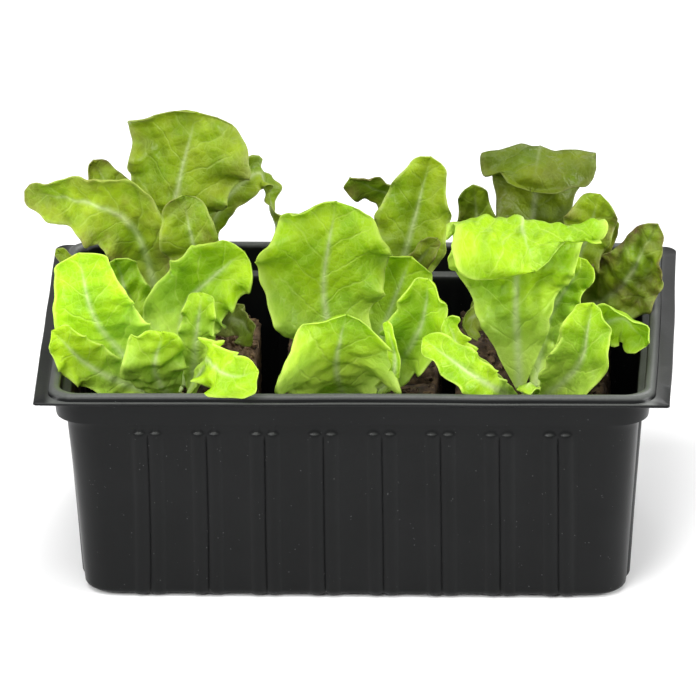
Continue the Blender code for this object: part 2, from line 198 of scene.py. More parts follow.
def soil_material():
    n = Nodes("pressed_soil")
    where = n.place()
    lumps = n.noise(where, 420, 5, 0.65)
    tan = n.value("tan")
    dark = n.mix(n.step(lumps, 0.3, 0.7), (0.010, 0.0065, 0.0045, 1), (0.060, 0.036, 0.020, 1))
    pale = n.mix(n.step(lumps, 0.3, 0.75), (0.070, 0.042, 0.022, 1), (0.30, 0.20, 0.105, 1))
    ground = n.mix(tan, dark, pale)
    fibre = n.add("ShaderNodeTexVoronoi", {"Vector": where, "Scale": 900.0}, feature="F1")
    fleck = n.math("MULTIPLY", n.math("LESS_THAN", fibre.outputs["Distance"], 0.22),
                   n.math("GREATER_THAN", n.noise(where, 300, 2), 0.58))
    flecked = n.mix(n.math("MULTIPLY", fleck, 0.55), ground, (0.36, 0.27, 0.16, 1))
    n.feed(n.shader.inputs["Base Color"], flecked)
    n.feed(n.shader.inputs["Roughness"], n.step(lumps, 0.2, 0.8, 0.72, 0.98))
    n.feed(n.shader.inputs["Normal"], n.bump(n.noise(where, 1500, 4, 0.7), 0.0004, 0.9))
    n.shader.inputs["Specular IOR Level"].default_value = 0.25
    return n.material


# Side veins in millimetres: their pitch up the midrib and how steeply they rise from it
VEIN_PITCH, VEIN_SLANT = 7.4, 0.95


def leaf_material(name, deep, fresh, pale, flush):
    """A blade: paler veins, a margin paler partly by its own colour and partly by a painted highlight, a net
    of fine veins, light through it, a bronze flush, and painted light or shade per leaf.
    """
    n = Nodes(name)
    across = n.value("across")
    along = n.value("along")
    edge = n.value("edge")
    rib = n.value("rib")
    where = n.place()
    drift = n.math("MULTIPLY", n.math("SUBTRACT", n.noise(where, 190, 2), 0.5), 4.2)
    away = n.math("ABSOLUTE", across)
    fan = n.math("SUBTRACT", along, n.math("MULTIPLY", away, VEIN_SLANT))
    half = n.math("MULTIPLY", n.math("GREATER_THAN", across, 0.0), 0.5)
    turn = n.math("ADD", n.math("DIVIDE", n.math("ADD", fan, drift), VEIN_PITCH), half)
    saw = n.math("ABSOLUTE", n.math("SUBTRACT", n.math("FRACT", turn), 0.5))
    side_vein = n.step(saw, 0.0, 0.075, 1.0, 0.0)
    side_vein = n.math("MULTIPLY", side_vein, n.step(edge, 0.55, 0.98, 1.0, 0.25))
    bent = n.math("ADD", across, n.math("MULTIPLY", drift, 0.35))
    flat = n.add("ShaderNodeCombineXYZ", {0: bent, 1: along, 2: n.value("leaf")}).outputs[0]
    net = n.add("ShaderNodeTexVoronoi", {"Vector": flat, "Scale": 0.52}, feature="DISTANCE_TO_EDGE")
    fine = n.add("ShaderNodeTexVoronoi", {"Vector": flat, "Scale": 1.35}, feature="DISTANCE_TO_EDGE")
    net_vein = n.step(net.outputs["Distance"], 0.0, 0.10, 1.0, 0.0)
    fine_vein = n.step(fine.outputs["Distance"], 0.0, 0.13, 1.0, 0.0)
    veins = n.math("MAXIMUM", side_vein, n.math("MULTIPLY", net_vein, 0.55))
    veins = n.math("MAXIMUM", veins, n.math("MULTIPLY", fine_vein, 0.26))
    patches = n.noise(where, 75, 3)
    blade = n.mix(n.step(patches, 0.30, 0.70), deep, fresh)
    blade = n.mix(n.math("MULTIPLY", veins, 0.36), blade, pale)
    # Paler margin: partly the leaf's own paler rim and partly a painted highlight on the thin edge.
    blade = n.mix(n.step(edge, 0.86, 1.0, 0.0, 0.62), blade, pale)
    heart = n.step(n.math("SUBTRACT", along, n.math("MULTIPLY", away, 0.7)), 0.0, 26.0, 0.55, 0.0)
    blade = n.mix(heart, blade, (pale[0] * 1.05, pale[1] * 1.02, pale[2] * 1.4, 1))
    blade = n.mix(n.math("MULTIPLY", rib, 0.80), blade, (0.62, 0.74, 0.33, 1))
    mottle = n.step(n.noise(where, 230, 4, 0.6), 0.30, 0.62, 0.25, 1.0)
    tint = n.math("MULTIPLY", n.value("bronze"), mottle)
    tint = n.math("MULTIPLY", tint, n.math("SUBTRACT", 1.0, n.math("MULTIPLY", veins, 0.45)), clamp=True)
    blade = n.mix(tint, blade, flush)
    # Painted light and shade: the leaf's light value scales its brightness for how lit or shaded that leaf is.
    blade = n.add("ShaderNodeHueSaturation", {"Color": blade, "Value": n.value("light")}).outputs[0]
    relief = n.math("SUBTRACT", n.math("MULTIPLY", n.math("MINIMUM", net.outputs["Distance"], 0.35), 2.2),
                    n.math("MULTIPLY", side_vein, 0.9))
    relief = n.math("ADD", relief, n.math("MULTIPLY", n.math("MINIMUM", fine.outputs["Distance"], 0.3), 0.8))
    bumped = n.bump(relief, 0.00034, 0.40, n.bump(n.noise(where, 2300, 2), 0.00003, 0.5))
    s = n.shader
    n.feed(s.inputs["Base Color"], blade)
    n.feed(s.inputs["Roughness"], n.step(patches, 0.25, 0.75, 0.36, 0.50))
    n.feed(s.inputs["Normal"], bumped)
    s.inputs["Specular IOR Level"].default_value = 0.24
    glow = n.mix(0.5, blade, (0.85, 0.95, 0.04, 1), "MULTIPLY")
    through = n.add("ShaderNodeBsdfTranslucent", {"Color": glow, "Normal": bumped})
    both = n.add("ShaderNodeMixShader", {0: 0.34, 1: s.outputs[0], 2: through.outputs[0]})
    n.feed(n.output.inputs[0], both.outputs[0])
    return n.material


def crown_material():
    n = Nodes("lettuce_crown")
    where = n.place()
    streaks = n.noise(where, 600, 3)
    low = n.value("low")
    green = n.mix(n.step(streaks, 0.35, 0.7), (0.42, 0.52, 0.20, 1), (0.66, 0.72, 0.42, 1))
    n.feed(n.shader.inputs["Base Color"], n.mix(n.math("MULTIPLY", low, 0.7), green, (0.20, 0.12, 0.06, 1)))
    n.feed(n.shader.inputs["Roughness"], n.step(streaks, 0.2, 0.8, 0.42, 0.62))
    n.feed(n.shader.inputs["Normal"], n.bump(streaks, 0.0002, 0.6))
    n.shader.inputs["Subsurface Weight"].default_value = 0.15
    n.shader.inputs["Subsurface Scale"].default_value = 0.0015
    return n.material


# ---------------------------------------------------------------- tray

TRAY_LOW, TRAY_HIGH = (np.array(corner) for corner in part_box("tray"))
SHEET = 0.0008
BEAD_WIDTH, BEAD_HEIGHT = 0.0029, 0.0017
WING_LENGTH, LIP_OVERHANG = 0.0047, 0.0021
FLANGE_CORNERS = (0.0006, 0.0032)
COLLAR_HEIGHT, COLLAR_CORNER, COLLAR_DRAFT = 0.0066, 0.0068, 0.0004
STACKING_LEDGE = 0.0023
WALL_DRAFT, WALL_CORNER = 0.0038, 0.0085
FOOT_FILLET = 0.0022
RIB_PITCH, RIB_HALF_PAIR, RIB_PROUD = 0.0143, 0.0040, 0.0008
RIB_TOP_GAP, RIB_TOP_TAPER = 0.0030, 0.0030
BASE_RELIEF, RIB_FOOT_RUN = 0.0007, 0.0060
DRAIN_RADIUS = 0.0030
DRAIN_SIDES = 40
BASE_GRID = 0.012
FLANGE_TOP = TRAY_HIGH[2] - BEAD_HEIGHT
LEDGE_HEIGHT = FLANGE_TOP - COLLAR_HEIGHT
WING_HALF = TRAY_HIGH[:2]
COLLAR_HALF = WING_HALF - (WING_LENGTH, LIP_OVERHANG)
WALL_TOP_HALF = COLLAR_HALF - COLLAR_DRAFT - STACKING_LEDGE
WALL_FOOT_HALF = WALL_TOP_HALF - WALL_DRAFT
CORNER_STEPS = 14
FLAT_STEPS = 6
RIB_POINTS = 18


def rib_pairs(half):
    return int(2 * (half - RIB_FOOT_RUN - WALL_CORNER / 2 - RIB_HALF_PAIR) / RIB_PITCH) + 1


def rib_shape(along, pairs):
    """Height (0 to 1) across each pair: two rounded ribs with a groove between them."""
    index = np.round(along / RIB_PITCH + (pairs - 1) / 2)
    from_pair = np.abs(along - (np.clip(index, 0, pairs - 1) - (pairs - 1) / 2) * RIB_PITCH)
    across = np.clip(np.abs(from_pair / (RIB_HALF_PAIR / 2) - 1), 0, 1)
    return 1 - across**2


def wall_half(z):
    return WALL_FOOT_HALF + (WALL_TOP_HALF - WALL_FOOT_HALF) * (z / LEDGE_HEIGHT)


def perimeter(half, z, radius, proud=0.0, lift=0.0):
    """One closed loop round the tray, the same count of points in every loop."""
    front, back = radius if isinstance(radius, tuple) else (radius, radius)
    loop = []
    for quarter in range(4):
        (sx, sy), r = (((1, -1), front), ((1, 1), back), ((-1, 1), back), ((-1, -1), front))[quarter]
        nx, ny = ((0, -1), (1, 0), (0, 1), (-1, 0))[quarter]
        before = (front, front, back, back)[quarter]
        pairs = LONG_PAIRS if nx == 0 else SHORT_PAIRS
        run = (pairs - 1) / 2 * RIB_PITCH + RIB_HALF_PAIR
        reach = half[0] if nx == 0 else half[1]
        within = np.linspace(-RIB_HALF_PAIR, RIB_HALF_PAIR, RIB_POINTS + 1)
        middles = (np.arange(pairs) - (pairs - 1) / 2) * RIB_PITCH
        ribs = (middles[:, None] + within).ravel()
        lead = np.linspace(-(reach - before), -run, FLAT_STEPS, endpoint=False)[1:]
        tail = np.linspace(run, reach - r, FLAT_STEPS + 1)[1:-1]
        along = np.concatenate([lead, ribs, tail])
        height = np.where(np.abs(along) <= run + 1e-9, rib_shape(along, pairs), 0)
        x = nx * (half[0] + height * proud) - ny * along
        y = ny * (half[1] + height * proud) + nx * along
        loop.append(np.stack([x, y, z + lift * (1 - height)], axis=1))
        angle = np.radians(-90 + 90 * quarter) + np.linspace(0, np.pi / 2, CORNER_STEPS + 1)
        x = sx * (half[0] - r) + r * np.cos(angle)
        y = sy * (half[1] - r) + r * np.sin(angle)
        loop.append(np.stack([x, y, np.full(len(angle), z + lift)], axis=1))
    return np.vstack(loop)


LONG_PAIRS, SHORT_PAIRS = (rib_pairs(half) for half in WALL_FOOT_HALF)


def tray_loops():
    """From the flat base up the outside, over the flange and the bead, and down the inside."""
    foot = wall_half(FOOT_FILLET)
    loops = [perimeter(foot - RIB_FOOT_RUN, 0, WALL_CORNER / 2, lift=0.00005),
             perimeter(foot - RIB_FOOT_RUN * 0.8, 0, WALL_CORNER / 2, lift=BASE_RELIEF * 0.3),
             perimeter(foot - RIB_FOOT_RUN * 0.6, 0, WALL_CORNER * 0.6, lift=BASE_RELIEF),
             perimeter(foot - FOOT_FILLET * 1.05, 0, WALL_CORNER * 0.75, lift=BASE_RELIEF)]
    for share in (0.2, 0.4, 0.6, 0.8, 1.0):
        turn = share * math.pi / 2
        out = FOOT_FILLET * (1 - math.sin(turn))
        rise = FOOT_FILLET * (1 - math.cos(turn))
        loops.append(perimeter(foot - out, rise, WALL_CORNER * (0.75 + share / 4),
                               proud=RIB_PROUD * share, lift=BASE_RELIEF * (1 - share)))
    rib_end = LEDGE_HEIGHT - RIB_TOP_GAP
    rib_full = rib_end - RIB_TOP_TAPER
    for z in np.linspace(FOOT_FILLET, rib_full, 9)[1:]:
        loops.append(perimeter(wall_half(z), z, WALL_CORNER, proud=RIB_PROUD))
    for share in np.linspace(0, 1, 9)[1:]:
        z = rib_full + (rib_end - rib_full) * share
        fading = RIB_PROUD * math.sqrt(1 - share**2.4)
        loops.append(perimeter(wall_half(z), z, WALL_CORNER, proud=fading))
    loops.append(perimeter(WALL_TOP_HALF, LEDGE_HEIGHT - 0.0006, WALL_CORNER))
    loops.append(perimeter(WALL_TOP_HALF + 0.0003, LEDGE_HEIGHT - 0.0001, WALL_CORNER))
    low = COLLAR_HALF - COLLAR_DRAFT
    loops.append(perimeter(low - 0.0006, LEDGE_HEIGHT, COLLAR_CORNER * 1.15))
    loops.append(perimeter(low - 0.0001, LEDGE_HEIGHT + 0.00015, COLLAR_CORNER * 1.15))
    loops.append(perimeter(low, LEDGE_HEIGHT + 0.0007, COLLAR_CORNER * 1.15))
    halfway = (LEDGE_HEIGHT + FLANGE_TOP) / 2
    loops.append(perimeter(COLLAR_HALF - COLLAR_DRAFT / 2, halfway, COLLAR_CORNER * 1.08))
    loops.append(perimeter(COLLAR_HALF, FLANGE_TOP - SHEET * 1.6, COLLAR_CORNER))
    loops.append(perimeter(COLLAR_HALF + 0.0002, FLANGE_TOP - SHEET * 1.1, COLLAR_CORNER))
    grow = WING_HALF - COLLAR_HALF
    loops.append(perimeter(COLLAR_HALF + grow * 0.35, FLANGE_TOP - SHEET, (0.0045, 0.0056)))
    loops.append(perimeter(WING_HALF - 0.0002, FLANGE_TOP - SHEET, FLANGE_CORNERS))
    loops.append(perimeter(WING_HALF, FLANGE_TOP - SHEET * 0.7, FLANGE_CORNERS))
    loops.append(perimeter(WING_HALF, FLANGE_TOP - SHEET * 0.3, FLANGE_CORNERS))
    loops.append(perimeter(WING_HALF - 0.0002, FLANGE_TOP, FLANGE_CORNERS))
    inner = COLLAR_HALF - SHEET
    loops.append(perimeter(inner + BEAD_WIDTH - SHEET + 0.00025, FLANGE_TOP - 0.00002, COLLAR_CORNER))
    for degrees in (180, 165, 150, 132, 112, 90, 68, 48, 30, 12):
        turn = math.radians(degrees)
        out = BEAD_WIDTH / 2 * (1 - math.cos(turn)) - SHEET
        rise = BEAD_HEIGHT * math.sin(turn) ** 0.8
        loops.append(perimeter(inner + out, FLANGE_TOP + rise, COLLAR_CORNER - SHEET))
    inside = COLLAR_HALF - 2 * SHEET
    loops.append(perimeter(inside, FLANGE_TOP, COLLAR_CORNER - SHEET))
    low_in = low - SHEET
    loops.append(perimeter(low_in, LEDGE_HEIGHT + SHEET + 0.0008, COLLAR_CORNER - SHEET))
    loops.append(perimeter(low_in - 0.0002, LEDGE_HEIGHT + SHEET + 0.0002, COLLAR_CORNER - SHEET))
    loops.append(perimeter(low_in - 0.0007, LEDGE_HEIGHT + SHEET, COLLAR_CORNER - SHEET))
    top_in = WALL_TOP_HALF - SHEET
    loops.append(perimeter(top_in + 0.0003, LEDGE_HEIGHT + SHEET * 0.9, WALL_CORNER - SHEET))
    loops.append(perimeter(top_in - 0.0001, LEDGE_HEIGHT + SHEET * 0.4, WALL_CORNER - SHEET))
    loops.append(perimeter(top_in - 0.0002, LEDGE_HEIGHT - 0.001, WALL_CORNER - SHEET))
    floor = SHEET + BASE_RELIEF
    floor_half = foot - SHEET
    for z in (rib_end, rib_full, 0.03, 0.015, 0.005):
        hollow = 0.0 if z == rib_end else RIB_PROUD * 0.7
        loops.append(perimeter(wall_half(z) - SHEET, z, WALL_CORNER - SHEET, proud=hollow))
    loops.append(perimeter(floor_half, floor + FOOT_FILLET / 2, WALL_CORNER - SHEET))
    loops.append(perimeter(floor_half - FOOT_FILLET * 0.15, floor + FOOT_FILLET * 0.15, WALL_CORNER * 0.85))
    loops.append(perimeter(floor_half - FOOT_FILLET / 2, floor, WALL_CORNER * 0.75))
    return loops


def sheet_with_holes(loop, holes, height):
    """Points and triangles of a flat sheet inside the loop and outside the holes.

    The third result says which of the given points each point came from, if any.
    """
    flat = [Vector(p[:2]) for p in loop]
    edges = [(i, (i + 1) % len(flat)) for i in range(len(flat))]
    for hole in holes:
        start = len(flat)
        flat += [Vector(p) for p in hole]
        edges += [(start + i, start + (i + 1) % len(hole)) for i in range(len(hole))]
    step = BASE_GRID
    for x in np.arange(loop[:, 0].min() + step / 2, loop[:, 0].max(), step):
        for y in np.arange(loop[:, 1].min() + step / 2, loop[:, 1].max(), step):
            if abs(x) < loop[:, 0].max() - step / 2 and abs(y) < loop[:, 1].max() - step / 2:
                if all(math.dist((x, y), np.mean(hole, axis=0)) > DRAIN_RADIUS * 1.6 for hole in holes):
                    flat.append(Vector((x, y)))
    points, _, faces, originals, _, _ = delaunay_2d_cdt(flat, edges, [], 3, 1e-7)
    kept = []
    for face in faces:
        middle = np.mean([points[i] for i in face], axis=0)
        if all(math.dist(middle, np.mean(hole, axis=0)) > DRAIN_RADIUS * 0.98 for hole in holes):
            kept.append(face)
    return [(*p, height) for p in points], kept, originals


def make_tray():
    loops = tray_loops()
    count = len(loops[0])
    points = np.vstack(loops)
    slack = waves(points, 3, 0.075) * 0.00016 + waves(points, 5, 0.03) * 0.00005
    middle = points[:, :2] * (1, 1.4)
    outwards = np.zeros_like(points)
    outwards[:, :2] = middle / np.maximum(np.linalg.norm(middle, axis=1, keepdims=True), 1e-6)
    free = smooth(0.0, 0.008, points[:, 2])[:, None]
    points = points + outwards * slack[:, None] * free
    faces = []
    for ring in range(len(loops) - 1):
        a = np.arange(count) + ring * count
        b = np.roll(np.arange(count), -1) + ring * count
        faces += np.column_stack([a, b, b + count, a + count]).tolist()
    turn = np.linspace(0, 2 * np.pi, DRAIN_SIDES, endpoint=False)
    holes = []
    for name in sorted(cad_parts):
        if name.startswith("soil_plug_"):
            low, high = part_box(name)
            x, y = (low.x + high.x) / 2, (low.y + high.y) / 2
            circle = np.column_stack([np.cos(turn), np.sin(turn)])
            holes.append((x, y) + DRAIN_RADIUS * circle)
    all_points = points.tolist()
    edges = []
    for ring, height in ((0, loops[0][0, 2]), (len(loops) - 1, loops[-1][0, 2])):
        loop = points[ring * count:(ring + 1) * count]
        flat, kept, originals = sheet_with_holes(loop, holes, height)
        index = {}
        start = []
        for i, source in enumerate(originals):
            first = min(source) if source else -1
            if 0 <= first < count:
                index[i] = ring * count + first
            else:
                index[i] = len(all_points)
                all_points.append(flat[i])
            if source and first >= count:
                start.append((first - count, index[i]))
        faces += [[index[i] for i in (face if ring else face[::-1])] for face in kept]
        edges.append(dict(start))
    for hole in range(len(holes)):
        for step in range(len(turn)):
            a, b = hole * len(turn) + step, hole * len(turn) + (step + 1) % len(turn)
            if all(key in side for key in (a, b) for side in edges):
                faces.append([edges[0][a], edges[0][b], edges[1][b], edges[1][a]])
    tray = mesh_object("tray_shell", all_points, faces, tray_material(), 50)
    mesh = bmesh.new()
    mesh.from_mesh(tray.data)
    bmesh.ops.remove_doubles(mesh, verts=mesh.verts, dist=1e-7)
    bmesh.ops.recalc_face_normals(mesh, faces=mesh.faces)
    mesh.to_mesh(tray.data)
    mesh.free()
    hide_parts("tray")
    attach(tray, "tray")


# ---------------------------------------------------------------- soil

SOIL_CELLS = 34
GRAINS = 420
GRAIN_RADII = (0.0004, 0.0006, 0.0009, 0.0014)
GRAIN_SHARES = (0.40, 0.35, 0.18, 0.07)


def grain_shape():
    """Corners and faces of a 20-sided grain of unit radius."""
    mesh = bmesh.new()
    bmesh.ops.create_icosphere(mesh, subdivisions=1, radius=1)
    corners = np.array([corner.co[:] for corner in mesh.verts])
    faces = np.array([[corner.index for corner in face.verts] for face in mesh.faces])
    mesh.free()
    return corners, faces


def make_soil(place, seed, surface, tan):
    """The pressed block, rough on every side, with loose crumbs on its top."""
    low, high = (np.array(corner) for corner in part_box(f"soil_plug_{place}"))
    size = high - low
    points, faces, index = [], [], {}

    def vertex(key):
        if key not in index:
            index[key] = len(points)
            points.append([key[axis] / SOIL_CELLS for axis in range(3)])
        return index[key]

    for axis in range(3):
        u, v = [(1, 2), (2, 0), (0, 1)][axis]
        for end in (0, 1):
            for i in range(SOIL_CELLS):
                for j in range(SOIL_CELLS):
                    quad = []
                    for di, dj in ((0, 0), (1, 0), (1, 1), (0, 1)):
                        key = [0, 0, 0]
                        key[axis] = end * SOIL_CELLS
                        key[u], key[v] = i + di, j + dj
                        quad.append(vertex(tuple(key)))
                    faces.append(quad if end else quad[::-1])
    share = np.array(points)
    box = share - 0.5
    spot = low + share * size
    corner = np.sort(np.abs(box), axis=1)[:, 1]
    inwards = -box / np.maximum(np.linalg.norm(box, axis=1, keepdims=True), 1e-6)
    rough = np.abs(waves(spot, seed, 0.006)) * 0.00035 + np.abs(waves(spot, seed + 1, 0.0022)) * 0.00018
    spot = spot + inwards * (rough + smooth(0.44, 0.5, corner) * 0.0012)[:, None]
    top = share[:, 2] > 0.999
    spot[top, 2] += waves(spot[top], seed + 2, 0.012) * 0.0004 - 0.0004
    rng = np.random.default_rng(seed + 3)
    grain_points = [spot]
    corners, sides = grain_shape()
    total = len(spot)
    middle = (low + high) / 2
    for _ in range(GRAINS):
        x = middle[0] + size[0] * rng.uniform(-0.47, 0.47)
        y = middle[1] + size[1] * rng.uniform(-0.47, 0.47)
        radius = rng.choice(GRAIN_RADII, p=GRAIN_SHARES)
        small = corners * radius * rng.uniform(0.55, 1.35, 3) * rng.uniform(0.75, 1.2, (len(corners), 1))
        grain_points.append(small + (x, y, high[2] - 0.0003 + rng.uniform(0, 0.0007)))
        faces.extend((sides + total).tolist())
        total += len(corners)
    all_points = np.vstack(grain_points)
    soil = mesh_object(f"soil_{place}", all_points, faces, surface, 40)
    add_values(soil, "tan", np.clip(tan + waves(all_points, seed + 4, 0.005) * 0.14, 0, 1))
    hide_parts(f"soil_plug_{place}")
    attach(soil, f"plug_{place}")


# ---------------------------------------------------------------- leaves

FRONT = (0.0, -1.0, 0.3)
LEAF_RING_RADIUS, LEAF_RING_HEIGHT = 4.2, 3.0
FLAP_SHOULDER = 0.85
STALK_HALF = 0.8
THICKNESS = 0.42
STEP_MM = 0.62
SPINE_POINTS = 200


class Leaf:
    """One leaf in millimetres from the middle of its plug's top.

    top is where the blade's top is, bow how far the middle of the midrib stands off the straight
    line there, width the full width, broadest how far up that is, blunt the share of it left at
    the end, flap how far a folded end hangs beyond the top, and facing where the upper side looks.
    cup bends the margins forward. ruffle is the height of the frills and wave their length. bronze
    is the flush, light a brightness factor that paints in the light or shade falling on that leaf,
    teeth and pucker the fine shape, and spread how far the frilled blade reaches past the plain one.
    """

    def __init__(self, name, top, bow, width, broadest=0.6, blunt=0.5, flap=None, facing=FRONT,
                 cup=0.22, ruffle=2.2, wave=9.0, bronze=0.0, light=1.0, teeth=0.35, pucker=0.35,
                 spread=1.14):
        self.name, self.top, self.bow, self.width = name, np.array(top), np.array(bow), width
        self.broadest, self.blunt, self.flap, self.facing = broadest, blunt, flap, facing
        self.cup, self.ruffle, self.wave, self.spread = cup, ruffle, wave, spread
        self.bronze, self.light, self.teeth, self.pucker = bronze, light, teeth, pucker

    def midrib(self, base):
        """The points of the midrib: crown, bowed middle, top, and the folded end if there is one."""
        points = [base, (base + self.top) / 2 + self.bow, self.top]
        if self.flap:
            x, y, z = self.flap
            points += [self.top + (x / 2, y * FLAP_SHOULDER, z / 4), self.top + (x, y, z)]
        return np.array(points, float)

    def half_width(self, share):
        """Grows from the stalk to the broadest place, then narrows to the blunt end."""
        rise = np.sin(np.pi / 2 * np.minimum(share / self.broadest, 1))
        fall = np.clip((share - self.broadest) / (1 - self.broadest), 0, 1)
        grown = STALK_HALF + (self.width / 2 - STALK_HALF) * rise
        return grown * (1 - (1 - self.blunt) * fall**2)


# Each leaf's light value paints in its light or shade: below 1 darkens leaves in shade or ones facing up into
# the lamps, above 1 brightens ones that look lit.
PLANTS = {
    "front_left": (
        Leaf("tall", (-23, -3, 41), (-5, -3, 1), 19, 0.5, 0.45, cup=0.30, ruffle=2.4, wave=12, light=1.2),
        Leaf("low", (-29, -14, 25), (-3, -1, -1), 10, 0.55, 0.6, ruffle=2.2, wave=7),
        Leaf("spoon", (-2, -16, 26), (-3, -4, 0), 14, 0.6, 0.7, None, (0, -1, -0.2), cup=-0.25, ruffle=1.4,
             light=1.02, pucker=0.55),
        Leaf("drape", (9, -18, 19), (2, 0, 4), 10, 0.6, 0.8, (13, -14, 3), (-0.1, -0.6, 1), cup=0.1,
             ruffle=3.0, wave=11, light=1.08),
        Leaf("serrated", (17, 11, 36), (-7, 3, 2), 18, 0.6, 0.4, ruffle=2.4, wave=8, teeth=0.8, light=0.98),
        Leaf("frill", (7, -1, 30), (0, -1, 2), 8, 0.6, 0.6, ruffle=3.2, wave=6),
        Leaf("puckered", (-15, 16, 32), (-2, 4, 0), 11, 0.6, 0.7, pucker=0.8, ruffle=1.8, light=0.84),
    ),
    "back_left": (
        Leaf("boat", (-38, -9, 43), (8, -3, 12), 15, 0.6, 0.3, cup=0.42, ruffle=1.6, wave=14, bronze=0.42,
             light=1.2),
        Leaf("lobe", (1, -9, 42), (3, -5, 0), 13, 0.65, 0.5, cup=0.3, ruffle=1.8, bronze=0.34, light=1.0),
        Leaf("dark", (-22, 12, 43), (0, 5, 0), 11, 0.7, 0.3, None, (0.2, -1, 0.2), cup=0.35, ruffle=1.2,
             bronze=0.62, light=0.82, pucker=0.6),
        Leaf("flared", (4, 9, 57), (-4, 1, 0), 26, 0.9, 0.9, cup=0.14, ruffle=2.8, wave=13, bronze=0.28,
             light=0.9),
        Leaf("arched", (17, 20, 36), (-3, 3, 6), 8, 0.6, 0.8, (6, 3, -17), (0, -1, 0.5), ruffle=2.6, wave=8,
             bronze=0.25, light=0.94),
        Leaf("olive", (-30, -17, 31), (-4, -5, 2), 4, 0.6, 0.5, bronze=0.4, light=0.8),
        Leaf("withered", (18, -17, 8), (2, 2, 3), 9, 0.6, 0.6, None, (0, -1, 0.6), ruffle=2.0, bronze=0.35,
             light=0.72),
    ),
    "front_centre": (
        Leaf("broad", (-5, 4, 52), (-4, 2, 0), 32, 0.6, 0.6, cup=0.16, ruffle=3.2, wave=13, light=0.82,
             spread=0.95),
        Leaf("spoon", (-2, -15, 30), (-2, -6, 0), 24, 0.55, 0.6, cup=0.5, ruffle=2.8, wave=10, light=1.02),
        Leaf("upright", (13, 13, 34), (0, 4, 0), 15, 0.7, 0.65, ruffle=2.6, wave=8, light=1.0),
        Leaf("curl", (8, -19, 30), (5, -8, 0), 3, 0.5, 0.8, None, (0, -1, 0.3), ruffle=1.2, light=1.08),
        Leaf("fold", (18, -11, 38), (4, -3, 2), 12, 0.55, 0.6, cup=0.6, ruffle=2.2, wave=9, light=1.0),
    ),
    "front_right": (
        Leaf("fan", (-2, 4, 47), (-1, 2, 0), 37, 0.75, 0.8, (4, -10, -9), (0, -1, 0.3), cup=0.1, ruffle=3.0,
             wave=14, light=0.98, pucker=0.45),
        Leaf("strip", (14, 14, 33), (-3, 4, 0), 9, 0.6, 0.7, ruffle=2.6, wave=6, light=1.06),
        Leaf("upright", (16, -9, 31), (3, -5, -1), 13, 0.5, 0.35, cup=0.5, ruffle=1.4, light=0.98),
        Leaf("spoon", (21, -4, 24), (-2, -1, 4), 10, 0.7, 0.8, (8, -3, -5), (0, -1, 0.5), cup=0.55, ruffle=1.8,
             light=1.0),
        Leaf("small", (-1, -20, 12), (1, -2, 3), 4, 0.6, 0.7, None, (0, -1, 0.6), ruffle=1.0),
        Leaf("ribbon", (-20, -20, 31), (-3, -2, 0), 6, 0.6, 0.8, None, (0, -1, 0.6), ruffle=2.2, wave=7),
        Leaf("lower", (-25, -25, 28), (2, -9, 1), 8, 0.6, 0.7, None, (0, -1, 0.5), ruffle=2.4, wave=9,
             light=1.04),
    ),
    "back_centre": (
        Leaf("oval", (-3, -2, 44), (11, 4, 8), 8, 0.75, 0.7, ruffle=1.4, bronze=0.5, light=0.92),
        Leaf("cone", (17, 0, 49), (0, -4, -1), 18, 0.6, 0.5, cup=0.5, ruffle=1.6, wave=12, bronze=0.16,
             light=1.0, spread=0.95),
        Leaf("dark", (19, -14, 33), (2, -4, 3), 6, 0.6, 0.5, bronze=0.5, light=0.7),
    ),
    "back_right": (
        Leaf("cap", (2, 4, 49), (-1, 5, 0), 25, 0.7, 0.8, (-2, -12, -6), (0, -1, 0.3), cup=0.12, ruffle=2.4,
             wave=14, bronze=0.30, light=0.46),
        Leaf("fold", (17, -12, 44), (3, -2, 4), 11, 0.6, 0.6, ruffle=2.0, bronze=0.38, light=0.92),
        Leaf("bronze", (20, 10, 29), (3, 5, 0), 5, 0.6, 0.5, bronze=0.6, light=0.72),
        Leaf("purple", (31, -12, 36), (5, -4, 0), 15, 0.55, 0.2, cup=0.3, ruffle=1.4, bronze=0.6, light=0.82,
             pucker=0.7),
        Leaf("olive", (-15, 12, 37), (-3, 4, 0), 8, 0.6, 0.7, bronze=0.35, light=0.82),
        Leaf("withered", (-17, -17, 11), (-2, 2, 4), 9, 0.65, 0.6, None, (0, -1, 0.6), ruffle=2.0,
             bronze=0.35, light=0.72),
    ),
}


def starting_angles(leaves):
    """Starts the leaves evenly round the crown, in the order of the ways they grow."""
    ways = [math.atan2(leaf.top[1] / 2 + leaf.bow[1], leaf.top[0] / 2 + leaf.bow[0]) for leaf in leaves]
    order = sorted(range(len(leaves)), key=ways.__getitem__)
    step = 2 * math.pi / len(leaves)
    turn = sum(ways[which] - place * step for place, which in enumerate(order)) / len(leaves)
    return {leaves[which].name: turn + place * step for place, which in enumerate(order)}


